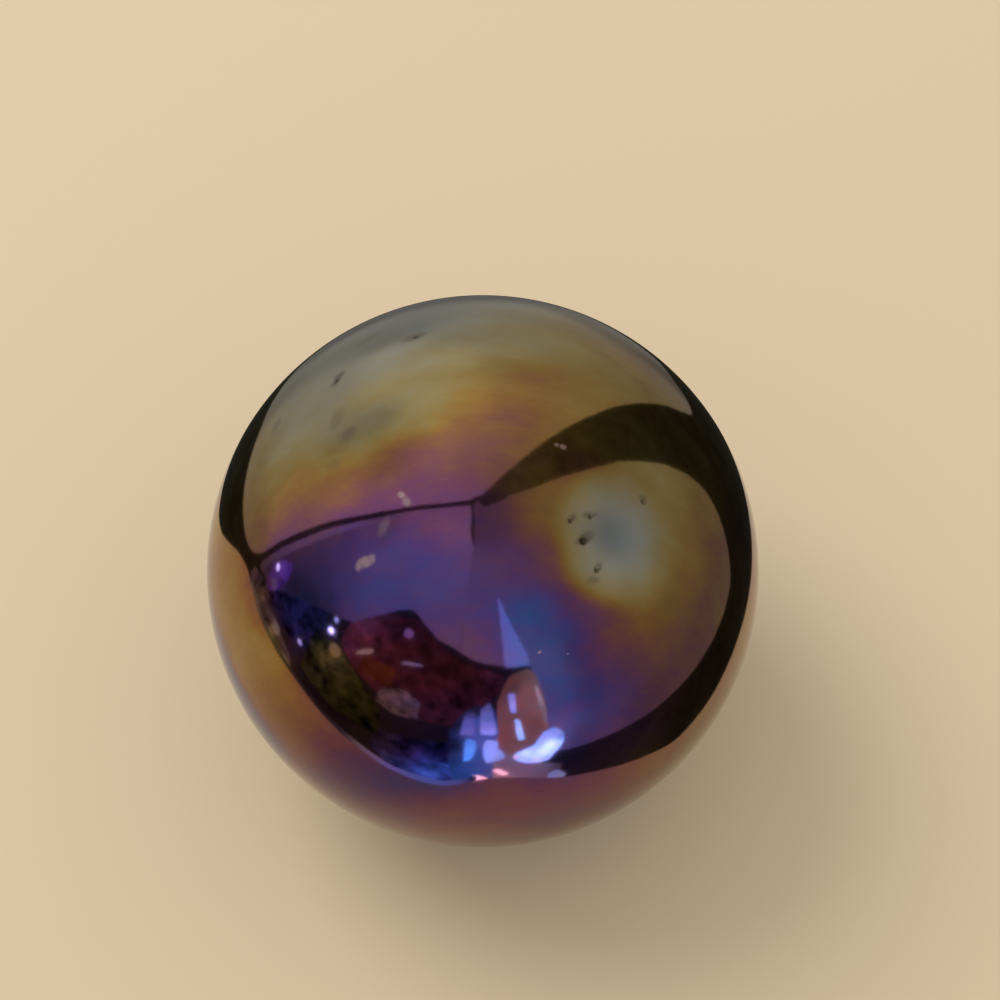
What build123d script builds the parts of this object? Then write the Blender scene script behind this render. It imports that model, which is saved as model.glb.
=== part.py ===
from build123d import *
import os
from dataclasses import dataclass
from math import cos, radians, sin, sqrt

# Glass marble: one solid ball of dark glass, in millimetres, +Z up, origin at its centre.
# The lustre on its skin is far thinner than any size here, so it is colour and not a layer.
# A few small open pits, burst bubbles in the skin, are cut into the upper half.

BALL_DIAMETER = 25.0

# A pit is a shallow round dish. WIDTH is across its rim, DEPTH goes down from the ball's skin.
LARGE_PIT_WIDTH = 0.36
LARGE_PIT_DEPTH = 0.10
SMALL_PIT_WIDTH = 0.24
SMALL_PIT_DEPTH = 0.06


@dataclass(frozen=True)
class PitSize:
    """Rim width and depth of one class of pit, in millimetres."""

    width: float
    depth: float


@dataclass(frozen=True)
class Pit:
    """One pit: degrees round from +X towards +Y, degrees up from the equator, and its size."""

    turn: float
    rise: float
    size: PitSize


large = PitSize(LARGE_PIT_WIDTH, LARGE_PIT_DEPTH)
small = PitSize(SMALL_PIT_WIDTH, SMALL_PIT_DEPTH)

# Five pits lie close together on the right of the -Y side, and two apart on its left.
pits = [
    Pit(-49.5, 59.5, large),
    Pit(-49.0, 64.0, small),
    Pit(-41.0, 62.0, small),
    Pit(-51.0, 53.5, small),
    Pit(-21.5, 55.0, small),
    Pit(151.5, 55.0, small),
    Pit(119.0, 61.5, small),
]

ball_radius = BALL_DIAMETER / 2


def dish_radius(size):
    """Radius of the sphere whose cut leaves a pit of this rim width and depth."""
    rim = size.width / 2
    skin_rise = ball_radius - sqrt(ball_radius**2 - rim**2)
    dish_depth = size.depth - skin_rise
    return (rim**2 + dish_depth**2) / (2 * dish_depth)


def dish_centre(pit):
    """Centre of the sphere that cuts a pit, out along the pit's own direction."""
    reach = ball_radius - pit.size.depth + dish_radius(pit.size)
    level = reach * cos(radians(pit.rise))
    return (
        level * cos(radians(pit.turn)),
        level * sin(radians(pit.turn)),
        reach * sin(radians(pit.rise)),
    )


with BuildPart() as marble:
    with BuildSketch(Plane.XZ):
        with BuildLine():
            CenterArc((0, 0), ball_radius, -90, 180)
            Line((0, ball_radius), (0, -ball_radius))
        make_face()
    revolve(axis=Axis.Z)
    for pit in pits:
        with Locations(dish_centre(pit)):
            Sphere(dish_radius(pit.size), mode=Mode.SUBTRACT)
marble.part.label = "marble"

os.makedirs("parts", exist_ok=True)
export_step(marble.part, "parts/marble.step")

print(f"marble: {marble.part.volume:.1f} mm3, {len(marble.faces())} faces")
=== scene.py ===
"""Looks of the glass marble: a dark, opaque ball under a thin lustre film with a mirror's shine.

The colours of the skin come from how thick the film is, so the film is worked out as a thickness
in nanometres that drifts over the ball, and its colour follows from interference in that film.
Places on the ball are a turn round +Z from +X towards +Y and a rise from the equator, and places
in the studio are an azimuth round +Z from +Y towards +X and an elevation, all in degrees.
"""

import logging
from dataclasses import dataclass
from enum import Enum
from math import cos, pi, radians, sin, sqrt, tan
from typing import Any, Sequence

import bmesh
import bpy
import numpy as np
from mathutils import Matrix, Vector


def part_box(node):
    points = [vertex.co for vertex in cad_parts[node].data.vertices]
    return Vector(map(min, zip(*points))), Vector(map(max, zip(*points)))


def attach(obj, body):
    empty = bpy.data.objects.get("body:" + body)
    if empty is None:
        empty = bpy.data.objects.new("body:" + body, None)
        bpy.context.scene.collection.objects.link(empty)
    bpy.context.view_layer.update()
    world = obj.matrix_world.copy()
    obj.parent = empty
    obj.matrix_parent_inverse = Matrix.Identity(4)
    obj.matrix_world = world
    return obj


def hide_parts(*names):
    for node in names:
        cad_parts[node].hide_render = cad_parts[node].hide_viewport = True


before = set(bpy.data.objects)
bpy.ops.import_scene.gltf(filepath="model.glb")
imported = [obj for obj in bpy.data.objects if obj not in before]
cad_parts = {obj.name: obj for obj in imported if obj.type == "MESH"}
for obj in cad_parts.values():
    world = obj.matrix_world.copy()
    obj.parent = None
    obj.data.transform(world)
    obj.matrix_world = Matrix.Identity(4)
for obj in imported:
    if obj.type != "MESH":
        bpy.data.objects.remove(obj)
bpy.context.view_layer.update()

MM = 0.001
NOISE_MIDDLE = 0.5
CUBE_SIDE = 2.0
EIGHTH_TURN = pi / 4
Socket = bpy.types.NodeSocket
Colour = tuple[float, float, float]
Triple = tuple[float, float, float]


def ball_direction(turn: float, rise: float) -> Vector:
    """Unit vector from the ball's centre to a place on its skin."""
    level = cos(radians(rise))
    return Vector((level * cos(radians(turn)), level * sin(radians(turn)), sin(radians(rise))))


def room_direction(azimuth: float, elevation: float) -> Vector:
    """Unit vector towards a place in the studio, where azimuth 180 is towards the camera."""
    level = cos(radians(elevation))
    return Vector((level * sin(radians(azimuth)), level * cos(radians(azimuth)), sin(radians(elevation))))


@dataclass(frozen=True)
class Grain:
    """One noise: its cells to a unit of length, its finer layers, and their weight."""

    cells: float
    layers: float
    rough: float = 0.5


class Wiring:
    """Adds nodes to one tree and joins them, so that a formula reads as one line a step."""

    # Where a Mix node keeps its two numbers, its two colours and the mixed colour.
    NUMBER_ENDS = slice(2, 4)
    COLOUR_ENDS = slice(6, 8)
    COLOUR_RESULT = 2

    def __init__(self, tree: bpy.types.NodeTree) -> None:
        """Takes the tree that the nodes go into."""
        self.tree = tree

    def add(self, kind: str, **settings: Any) -> bpy.types.Node:
        """Adds a node.

        Args:
            kind: the node's type name.
            **settings: its properties and their values.

        Returns:
            The new node.
        """
        node = self.tree.nodes.new(kind)
        for name, value in settings.items():
            setattr(node, name, value)
        return node

    def feed(self, socket: Socket, value: Any) -> None:
        """Links a socket to another, or writes a plain value on it.

        Args:
            socket: the input that is fed.
            value: a socket, or the value itself.
        """
        if isinstance(value, bpy.types.NodeSocket):
            self.tree.links.new(value, socket)
        else:
            socket.default_value = value

    def fill(self, node: bpy.types.Node, *values: Any, **named: Any) -> bpy.types.Node:
        """Feeds a node's first sockets in order, and others by name.

        Args:
            node: the node.
            *values: sockets or values for its first inputs.
            **named: input name, with _ for a space, to socket or value.

        Returns:
            The same node.
        """
        for socket, value in zip(node.inputs, values):
            self.feed(socket, value)
        for name, value in named.items():
            self.feed(node.inputs[name.replace("_", " ")], value)
        return node

    def maths(self, operation: str, *values: Any) -> Socket:
        """Adds a Math node on sockets or numbers and gives its result."""
        return self.fill(self.add("ShaderNodeMath", operation=operation), *values).outputs[0]

    def vector(self, operation: str, *values: Any, **named: Any) -> Socket:
        """Adds a Vector Math node.

        Args:
            operation: its operation.
            *values: sockets or triples, in the node's order.
            **named: Scale, for a SCALE operation.

        Returns:
            The node's vector, or its number where the operation gives one.
        """
        node = self.fill(self.add("ShaderNodeVectorMath", operation=operation), *values, **named)
        gives_number = operation in ("DISTANCE", "LENGTH")
        return node.outputs["Value" if gives_number else "Vector"]

    def mix(self, factor: Any, first: Any, second: Any) -> Socket:
        """Adds a colour Mix node.

        Args:
            factor: share of the second colour.
            first: socket or colour.
            second: socket or colour.

        Returns:
            The mixed colour.
        """
        node = self.add("ShaderNodeMix", data_type="RGBA")
        self.feed(node.inputs["Factor"], factor)
        for socket, colour in zip(node.inputs[self.COLOUR_ENDS], (first, second)):
            self.feed(socket, colour if isinstance(colour, bpy.types.NodeSocket) else (*colour, 1.0))
        return node.outputs[self.COLOUR_RESULT]

    def blend(self, factor: Any, first: Any, second: Any) -> Socket:
        """Adds a number Mix node.

        Args:
            factor: share of the second number.
            first: socket or number.
            second: socket or number.

        Returns:
            The mixed number.
        """
        node = self.add("ShaderNodeMix", data_type="FLOAT")
        self.feed(node.inputs["Factor"], factor)
        for socket, number in zip(node.inputs[self.NUMBER_ENDS], (first, second)):
            self.feed(socket, number)
        return node.outputs[0]

    def span(self, value: Any, low: float, high: float, **settings: Any) -> Socket:
        """Adds a Map Range node.

        Args:
            value: socket that is read.
            low: value that gives 0.
            high: value that gives 1.
            **settings: the node's properties and their values.

        Returns:
            The share of the way from low to high.
        """
        node = self.add("ShaderNodeMapRange", **settings)
        return self.fill(node, Value=value, From_Min=low, From_Max=high).outputs["Result"]

    def ease(self, value: Any, low: float, high: float) -> Socket:
        """Adds a smooth step from 0 at the low value to 1 at the high one."""
        return self.span(value, low, high, interpolation_type="SMOOTHSTEP")

    def bell(self, place: Socket, centre: Vector, reach: float) -> Socket:
        """Adds a bell curve round a place.

        Args:
            place: socket with the place that is read.
            centre: the bell's top.
            reach: distance at which it has fallen to a third.

        Returns:
            The bell's height, 1 at its centre.
        """
        share = self.maths("DIVIDE", self.vector("DISTANCE", place, tuple(centre)), reach)
        return self.maths("EXPONENT", self.maths("MULTIPLY", self.maths("MULTIPLY", share, share), -1.0))

    def noise(self, place: Any, grain: Grain) -> bpy.types.Node:
        """Adds a Noise Texture node of this grain, with outputs Fac and Color."""
        node = self.add("ShaderNodeTexNoise")
        return self.fill(node, Vector=place, Scale=grain.cells, Detail=grain.layers, Roughness=grain.rough)

    def swing(self, place: Any, grain: Grain, depth: Any) -> Socket:
        """Adds a noise that swings evenly above and below 0, by half the depth."""
        height = self.maths("SUBTRACT", self.noise(place, grain).outputs["Fac"], NOISE_MIDDLE)
        return self.maths("MULTIPLY", height, depth)

    def wander(self, place: Any, grain: Grain) -> Socket:
        """Adds a noise vector that swings evenly round 0."""
        colour = self.noise(place, grain).outputs["Color"]
        return self.vector("SUBTRACT", colour, (NOISE_MIDDLE,) * 3)

    def finish(self, kind: str, shader: bpy.types.Node) -> None:
        """Adds the tree's output node and links the shader to it."""
        self.feed(self.add(kind).inputs["Surface"], shader.outputs[0])


def cleared(holder: Any) -> Wiring:
    """Turns on the nodes of a material or a world, and clears them.

    Args:
        holder: the material or world.

    Returns:
        The wiring of its empty tree.
    """
    holder.use_nodes = True
    holder.node_tree.nodes.clear()
    return Wiring(holder.node_tree)


class NodeGroup:
    """A shader node group with named inputs and outputs, built once."""

    def __init__(self, name: str, inputs: dict[str, str], outputs: dict[str, str]) -> None:
        """Makes the group's tree and its sockets.

        Args:
            name: the group's name.
            inputs: socket name to kind, which is Vector or Float.
            outputs: socket name to kind.
        """
        self.tree = bpy.data.node_groups.new(name, "ShaderNodeTree")
        for in_out, sockets in (("INPUT", inputs), ("OUTPUT", outputs)):
            for socket, kind in sockets.items():
                self.tree.interface.new_socket(name=socket, in_out=in_out, socket_type=f"NodeSocket{kind}")
        self.wiring = Wiring(self.tree)
        self.source = self.wiring.add("NodeGroupInput").outputs
        self.result = self.wiring.add("NodeGroupOutput").inputs

    def place(self, wiring: Wiring, **values: Any) -> bpy.types.Node:
        """Puts the group into a tree, with its inputs fed by name."""
        return wiring.fill(wiring.add("ShaderNodeGroup", node_tree=self.tree), **values)


@dataclass(frozen=True)
class Lobe:
    """One bell of the eye's colour response, with its own width on each side of the peak."""

    height: float
    peak: float
    below: float
    above: float

    def response(self, wavelengths: np.ndarray) -> np.ndarray:
        """Height of the bell at each wavelength, in nanometres."""
        width = np.where(wavelengths < self.peak, self.below, self.above)
        return self.height * np.exp(-0.5 * ((wavelengths - self.peak) / width) ** 2)


@dataclass(frozen=True)
class ThinFilm:
    """Interference colours of a clear film on dark glass, seen head on."""

    film_index: float = 2.3
    glass_index: float = 1.52
    shortest: float = 390.0
    longest: float = 730.0
    spectral_step: float = 5.0

    RED_RESPONSE = (
        Lobe(1.056, 599.8, 37.9, 31.0), Lobe(0.362, 442.0, 16.0, 26.7), Lobe(-0.065, 501.1, 20.4, 26.2)
    )
    GREEN_RESPONSE = (Lobe(0.821, 568.8, 46.9, 40.5), Lobe(0.286, 530.9, 16.3, 31.1))
    BLUE_RESPONSE = (Lobe(1.217, 437.0, 11.8, 36.0), Lobe(0.681, 459.0, 26.0, 13.8))
    DAYLIGHT = (0.9505, 1.0, 1.089)
    TO_LINEAR_RGB = ((3.2406, -1.5372, -0.4986), (-0.9689, 1.8758, 0.0415), (0.0557, -0.2040, 1.0570))

    def colour(self, thickness: float) -> Colour:
        """Mirror colour of the film.

        Args:
            thickness: the film's thickness in nanometres.

        Returns:
            Linear red, green and blue reflectance.
        """
        wavelengths = np.arange(self.shortest, self.longest + 1, self.spectral_step)
        outer = (1 - self.film_index) / (1 + self.film_index)
        inner = (self.film_index - self.glass_index) / (self.film_index + self.glass_index)
        lag = np.exp(4j * pi * self.film_index * thickness / wavelengths)
        mirrored = np.abs((outer + inner * lag) / (1 + outer * inner * lag)) ** 2
        seen = []
        for lobes, white in zip((self.RED_RESPONSE, self.GREEN_RESPONSE, self.BLUE_RESPONSE), self.DAYLIGHT):
            response = sum(lobe.response(wavelengths) for lobe in lobes)
            seen.append(white * (mirrored * response).sum() / response.sum())
        red, green, blue = np.clip(np.array(self.TO_LINEAR_RGB) @ np.array(seen), 0.0, 1.0)
        return float(red), float(green), float(blue)


@dataclass(frozen=True)
class FilmPool:
    """A place where the film settled at one thickness: turn, rise, nanometres, and reach in ball radii."""

    turn: float
    rise: float
    thickness: float
    reach: float


# The pools of each belt of the film, as the turn, rise, thickness and reach of each.
FILM_BELTS = {
    "silver and straw cap on the far left of the seen side": (
        (112, 54, 62, 0.16), (136, 56, 69, 0.16), (159, 53, 73, 0.16), (180, 61, 79, 0.16),
        (172, 47, 79, 0.14), (-176, 44, 92, 0.12), (171, 37, 95, 0.10),
    ),
    "straw and gold across the top, with a rust cloud in it": (
        (94, 65, 76, 0.15), (67, 63, 83, 0.16), (47, 53, 90, 0.18), (32, 45, 94, 0.16), (131, 74, 82, 0.14),
        (164, 70, 80, 0.14), (92, 76, 88, 0.12), (168, 79, 87, 0.10), (46, 80, 99, 0.12),
        (115, 86, 98, 0.09), (24, 71, 94, 0.14), (15, 59, 91, 0.16), (11, 40, 96, 0.16),
    ),
    "rose belt from the left to the middle": (
        (-140, 83, 106, 0.10), (-156, 73, 107, 0.10), (-160, 62, 105, 0.10), (-167, 51, 102, 0.12),
        (-171, 38, 98, 0.10), (-60, 84, 106, 0.11), (-43, 76, 98, 0.11),
    ),
    "violet, running into the blue below it": (
        (-119, 73, 112, 0.12), (-143, 65, 112, 0.11), (-154, 54, 108, 0.11), (-92, 68, 114, 0.12),
        (-139, 55, 118, 0.12), (-154, 44, 113, 0.10), (-159, 32, 107, 0.09),
    ),
    "blue river from the left, past the middle and down to the right": (
        (-139, 44, 124, 0.15), (-121, 52, 124, 0.14), (-101, 56, 121, 0.14), (-75, 50, 129, 0.12),
        (-76, 61, 115, 0.10), (-69, 41, 125, 0.13), (-65, 31, 123, 0.14), (-77, 33, 123, 0.14),
        (-78, 23, 121, 0.13),
    ),
    "rose and rust round the grey eye, and the brown field right of it": (
        (-31, 68, 102, 0.08), (-4, 53, 86, 0.09), (-62, 67, 97, 0.09), (-65, 59, 104, 0.08),
        (-61, 50, 109, 0.08), (-57, 40, 102, 0.10), (-47, 32, 103, 0.12), (-57, 29, 117, 0.12),
        (-48, 23, 110, 0.12), (-56, 18, 111, 0.12), (-40, 40, 97, 0.12), (-38, 28, 103, 0.10),
        (-37, 21, 106, 0.12), (-22, 20, 100, 0.12),
    ),
    "rose and violet on the lower left": (
        (-129, 35, 112, 0.14), (-111, 41, 112, 0.14), (-95, 44, 114, 0.14), (-115, 25, 109, 0.14),
        (-134, 38, 126, 0.08), (-150, 29, 108, 0.07), (-99, 28, 119, 0.13),
    ),
    "hem along the bottom: straw on the left, then tan, mauve and rust": (
        (-172, 25, 96, 0.12), (-161, 23, 92, 0.14), (-147, 20, 88, 0.13), (-138, 15, 97, 0.11),
        (-128, 11, 106, 0.11), (-119, 5, 117, 0.11), (-109, 10, 121, 0.10), (-99, 15, 126, 0.10),
        (-108, -2, 112, 0.10), (-98, 3, 109, 0.12), (-87, 5, 111, 0.13), (-76, 4, 113, 0.13),
        (-64, 0, 109, 0.13), (-53, -1, 102, 0.14), (-40, 6, 99, 0.14), (-93, -12, 108, 0.12),
        (-119, -13, 116, 0.11), (-106, -15, 109, 0.11), (-80, -15, 110, 0.11), (-66, -12, 109, 0.11),
    ),
    "the sides, back and underside, which go on in the same bands": (
        (90, 25, 72, 0.30), (60, 5, 96, 0.30), (20, 5, 112, 0.30), (125, -5, 104, 0.30),
        (170, -8, 118, 0.30), (-160, -20, 126, 0.30), (90, -25, 122, 0.30), (45, -30, 127, 0.30),
        (0, -25, 98, 0.30), (-30, -30, 88, 0.30), (-75, -30, 101, 0.30), (-120, -35, 92, 0.30),
        (130, -40, 96, 0.30), (-170, -55, 84, 0.30), (60, -60, 108, 0.30), (-60, -65, 124, 0.35),
    ),
}
FILM_POOLS = tuple(FilmPool(*pool) for belt in FILM_BELTS.values() for pool in belt)


@dataclass(frozen=True)
class ThinSpot:
    """A round place where the film thins out inside a rim, with its reaches in ball radii.

    Nanometres fall from the rim's to the thinnest over the core, and the rim gives way to the
    pools around it between the inner and the outer reach.
    """

    turn: float
    rise: float
    thinnest: float
    core: float
    rim_turn: float
    rim_rise: float
    rim: float
    inner: float
    outer: float


GREY_EYE = ThinSpot(-38.6, 55.4, 53.0, 0.148, -37.0, 54.9, 92.0, 0.188, 0.282)


@dataclass(frozen=True)
class FilmField:
    """How thick the film is all over the ball: its pools, the grey eye, clouds and mottle."""

    rest_thickness: float = 105.0
    rest_weight: float = 0.001
    broad: Grain = Grain(2.2, 2.0)
    fine: Grain = Grain(9.0, 3.0)
    fine_share: float = 0.35
    wisp_tilt: Triple = (20.0, -25.0, 15.0)
    wisp_stretch: Triple = (1.0, 2.6, 1.8)
    clouds: Grain = Grain(3.2, 6.0, 0.55)
    specks: Grain = Grain(11.0, 4.0, 0.6)
    calm_from: float = 104.0
    calm_to: float = 118.0
    calm_share: float = 0.40

    def pooled(self, wiring: Wiring, place: Socket) -> Socket:
        """Weighs the pools round a place, and lays the grey eye over them.

        Args:
            wiring: the group's wiring.
            place: socket with the drifted direction.

        Returns:
            Nanometres.
        """
        weights: Any = self.rest_weight
        amounts: Any = self.rest_weight * self.rest_thickness
        for pool in FILM_POOLS:
            weight = wiring.bell(place, ball_direction(pool.turn, pool.rise), pool.reach)
            weights = wiring.maths("ADD", weights, weight)
            amounts = wiring.maths("MULTIPLY_ADD", weight, pool.thickness, amounts)
        settled = wiring.maths("DIVIDE", amounts, weights)
        dip = wiring.bell(place, ball_direction(GREY_EYE.turn, GREY_EYE.rise), GREY_EYE.core)
        eye = wiring.maths("MULTIPLY_ADD", dip, GREY_EYE.thinnest - GREY_EYE.rim, GREY_EYE.rim)
        rim_centre = tuple(ball_direction(GREY_EYE.rim_turn, GREY_EYE.rim_rise))
        inside = wiring.ease(wiring.vector("DISTANCE", place, rim_centre), GREY_EYE.outer, GREY_EYE.inner)
        return wiring.blend(inside, settled, eye)

    def group(self) -> NodeGroup:
        """Builds the group that gives the film's thickness.

        Returns:
            A group that reads Direction, Drift, Cloud and Mottle and gives Thickness in nanometres.
        """
        amounts = dict.fromkeys(("Drift", "Cloud", "Mottle"), "Float")
        group = NodeGroup("film_thickness", {"Direction": "Vector", **amounts}, {"Thickness": "Float"})
        wiring, source = group.wiring, group.source
        direction = source["Direction"]
        ripple = wiring.vector("SCALE", wiring.wander(direction, self.fine), Scale=self.fine_share)
        drift = wiring.vector("ADD", wiring.wander(direction, self.broad), ripple)
        shift = wiring.vector("SCALE", drift, Scale=source["Drift"])
        settled = self.pooled(wiring, wiring.vector("ADD", direction, shift))
        wisps = wiring.fill(
            wiring.add("ShaderNodeMapping", vector_type="POINT"),
            Vector=direction,
            Rotation=tuple(radians(angle) for angle in self.wisp_tilt),
            Scale=self.wisp_stretch,
        ).outputs["Vector"]
        calm = wiring.blend(wiring.ease(settled, self.calm_from, self.calm_to), 1.0, self.calm_share)
        depth = wiring.maths("MULTIPLY", source["Cloud"], calm)
        clouded = wiring.maths("ADD", settled, wiring.swing(wisps, self.clouds, depth))
        speckle = wiring.swing(wisps, self.specks, source["Mottle"])
        wiring.feed(group.result["Thickness"], wiring.maths("ADD", clouded, speckle))
        return group


class Mark(Enum):
    """What a small flaw on the skin is."""

    PIT = "an open pit, down to bare dark glass"
    SMUDGE = "a dull patch where the film is worn thin"
    FLECK = "a speck of pale dust"


@dataclass(frozen=True)
class Flaw:
    """One flaw on the skin, with its sizes in millimetres.

    Lean is in degrees, from the +X side of the ball anticlockwise as seen from outside, and strength
    is how much of the film's colour it hides.
    """

    mark: Mark
    turn: float
    rise: float
    length: float
    width: float
    lean: float = 0.0
    strength: float = 1.0
    depth: float = 0.0

    def axes(self) -> Matrix:
        """Turns the flaw's lean and place into its own directions.

        Returns:
            Unit directions along, across and out of the flaw, as the columns of a matrix.
        """
        out = ball_direction(self.turn, self.rise)
        side = Vector((1.0, 0.0, 0.0))
        level = (side - out * side.dot(out)).normalized()
        along = level * cos(radians(self.lean)) + out.cross(level) * sin(radians(self.lean))
        return Matrix((along, out.cross(along), out)).transposed()


LARGE_PIT_WIDTH = 0.36
LARGE_PIT_DEPTH = 0.10
SMALL_PIT_WIDTH = 0.24
SMALL_PIT_DEPTH = 0.06


def large_pit(turn: float, rise: float, strength: float) -> Flaw:
    """Makes one of the wider pits, at a place and with a share of bare glass."""
    return Flaw(Mark.PIT, turn, rise, LARGE_PIT_WIDTH, LARGE_PIT_WIDTH, 0.0, strength, LARGE_PIT_DEPTH)


def small_pit(turn: float, rise: float, strength: float = 0.36) -> Flaw:
    """Makes one of the narrower pits, at a place and with a share of bare glass."""
    return Flaw(Mark.PIT, turn, rise, SMALL_PIT_WIDTH, SMALL_PIT_WIDTH, 0.0, strength, SMALL_PIT_DEPTH)


FLAWS = (
    # Round the grey eye: one clear pit with a worn tail, four slighter ones and a brown stain.
    large_pit(-49.5, 59.5, 0.74),
    Flaw(Mark.SMUDGE, -48.2, 59.7, 0.95, 0.50, 35, 0.80),
    small_pit(-49.0, 64.0),
    Flaw(Mark.SMUDGE, -48.2, 64.2, 0.60, 0.32, 45, 0.60),
    small_pit(-41.0, 62.0),
    Flaw(Mark.SMUDGE, -40.6, 62.4, 0.75, 0.30, 8, 0.55),
    small_pit(-51.0, 53.5),
    Flaw(Mark.SMUDGE, -50.7, 53.8, 0.62, 0.34, 60, 0.60),
    small_pit(-21.5, 55.0),
    Flaw(Mark.SMUDGE, -20.6, 55.4, 0.50, 0.30, 0, 0.50),
    Flaw(Mark.SMUDGE, -54.0, 52.2, 0.60, 0.32, 10, 0.45),
    # On the silver cap: two nicks with tails and a few dull smudges.
    small_pit(151.5, 55.0, 0.26),
    Flaw(Mark.SMUDGE, 150.2, 55.0, 1.00, 0.48, 60, 0.85),
    small_pit(119.0, 61.5),
    Flaw(Mark.SMUDGE, 119.0, 61.2, 1.20, 0.62, 14, 0.75),
    Flaw(Mark.SMUDGE, 179.0, 63.2, 0.90, 0.75, 20, 0.75),
    Flaw(Mark.SMUDGE, 170.0, 60.0, 1.10, 0.70, 70, 0.36),
    Flaw(Mark.SMUDGE, 175.4, 68.0, 2.20, 1.30, 10, 0.24),
    Flaw(Mark.SMUDGE, 165.2, 42.5, 0.90, 0.50, 60, 0.40),
    Flaw(Mark.SMUDGE, -169.5, 59.5, 0.90, 0.60, 10, 0.30),
    Flaw(Mark.SMUDGE, 129.5, 51.7, 1.50, 0.60, 30, 0.30),
    # Pale dust, and a brown stain under one speck of it.
    Flaw(Mark.FLECK, -131.5, 54.2, 0.66, 0.50, 12, 0.95),
    Flaw(Mark.FLECK, -132.6, 53.0, 0.46, 0.34, 70, 0.80),
    Flaw(Mark.FLECK, -130.2, 55.6, 0.40, 0.34, 40, 0.75),
    Flaw(Mark.FLECK, -133.5, 61.9, 0.95, 0.40, 62, 0.26),
    Flaw(Mark.SMUDGE, -131.8, 61.0, 1.10, 0.75, 70, 0.35),
    Flaw(Mark.FLECK, -136.9, 68.3, 0.30, 0.26, 150, 0.95),
    Flaw(Mark.FLECK, -132.2, 68.2, 0.50, 0.30, 135, 0.60),
    Flaw(Mark.FLECK, -18.2, 75.1, 0.30, 0.24, 0, 0.60),
    Flaw(Mark.FLECK, -17.7, 73.9, 0.36, 0.24, 160, 0.80),
    Flaw(Mark.FLECK, -75.4, 43.3, 0.12, 0.12, 0, 0.70),
    Flaw(Mark.FLECK, -68.2, 41.2, 0.10, 0.10, 0, 0.60),
)
SPOT_START = 1.40
SPOT_FULL = 0.35


def spot_group() -> NodeGroup:
    """Builds the group that marks one small oval spot with a soft edge.

    Returns:
        A group that reads Direction, Centre, Turn, Size and Strength and gives Mask.
    """
    inputs = dict.fromkeys(("Direction", "Centre", "Turn", "Size"), "Vector")
    group = NodeGroup("soft_spot", {**inputs, "Strength": "Float"}, {"Mask": "Float"})
    wiring, source = group.wiring, group.source
    laid = wiring.fill(
        wiring.add("ShaderNodeMapping", vector_type="TEXTURE"),
        Vector=source["Direction"],
        Location=source["Centre"],
        Rotation=source["Turn"],
        Scale=source["Size"],
    )
    inside = wiring.ease(wiring.vector("LENGTH", laid.outputs["Vector"]), SPOT_START, SPOT_FULL)
    wiring.feed(group.result["Mask"], wiring.maths("MULTIPLY", inside, source["Strength"]))
    return group


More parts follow.
